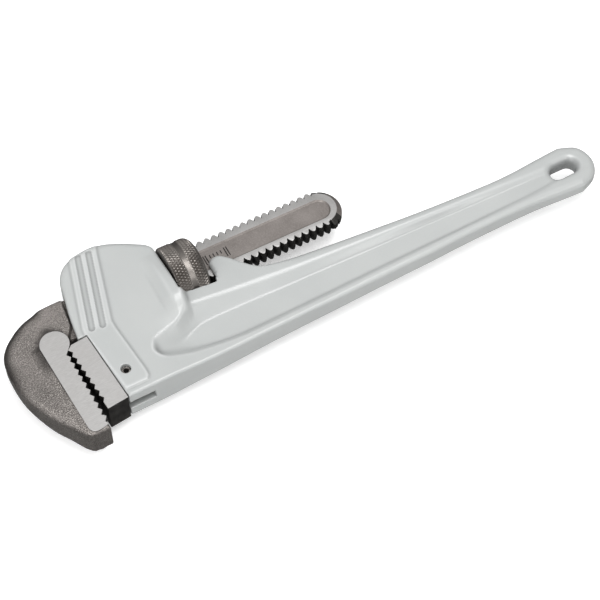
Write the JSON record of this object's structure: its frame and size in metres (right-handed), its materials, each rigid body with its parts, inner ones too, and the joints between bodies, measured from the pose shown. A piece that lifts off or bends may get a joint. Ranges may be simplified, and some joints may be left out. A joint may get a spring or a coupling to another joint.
{
  "type": "pipe wrench",
  "caption": "Straight pipe wrench with a light cast handle, sliding hook jaw on a threaded flat shank, knurled adjusting nut, replaceable heel jaw and a sprung rocking jaw.",
  "frame": {"origin": "under the middle of the overall box, at the height of the nut's lowest point, with the wrench lying on its side", "axes": "+X along the shank from the jaws to the handle's tail, +Y from the mouth side to the nut side, +Z square to the wrench's flat sides"},
  "size_m": [0.4432, 0.1357, 0.047],
  "materials": {
    "painted_casting": "silver-grey paint, satin, on a casting",
    "forged_steel": "forged, warm dark grey and grainy, with ground flats",
    "ground_steel": "ground top and bottom, blackened edges",
    "blackened_steel": "blackened",
    "machined_steel": "machined and knurled, brown-grey",
    "spring_steel": "plain spring steel"
  },
  "bodies": {
    "handle": {"handle_body": "painted_casting", "heel_jaw": "ground_steel", "heel_jaw_pin": "blackened_steel", "coil_spring": "spring_steel"},
    "spring_rocker": {"flat_spring": "spring_steel", "spring_rivet": "spring_steel"},
    "hook": {"hook_jaw": "forged_steel"},
    "nut": {"adjusting_nut": "machined_steel"}
  },
  "joints": [
    {"name": "jaw_rock", "type": "hinge", "parent": "handle", "child": "spring_rocker", "pos_m": [-0.09315, 0.0005, 0.0235], "axis": [0, 0, 1], "range_deg": [-3, 0], "stiffness_Nm_per_rad": 6, "springref_deg": 8.59, "deforming": ["coil_spring"]},
    {"name": "jaw_travel", "type": "slide", "parent": "spring_rocker", "child": "hook", "axis": [-1, 0, 0], "range_m": [0, 0.07]},
    {"name": "nut_spin", "type": "hinge", "parent": "spring_rocker", "child": "nut", "pos_m": [-0.09235, 0.0242, 0.0235], "axis": [1, 0, 0], "range_deg": [-5, 4430]}
  ],
  "couplings": [
    {"joint": "nut_spin", "follows": "jaw_travel", "rad_per_m": 1102.3}
  ]
}
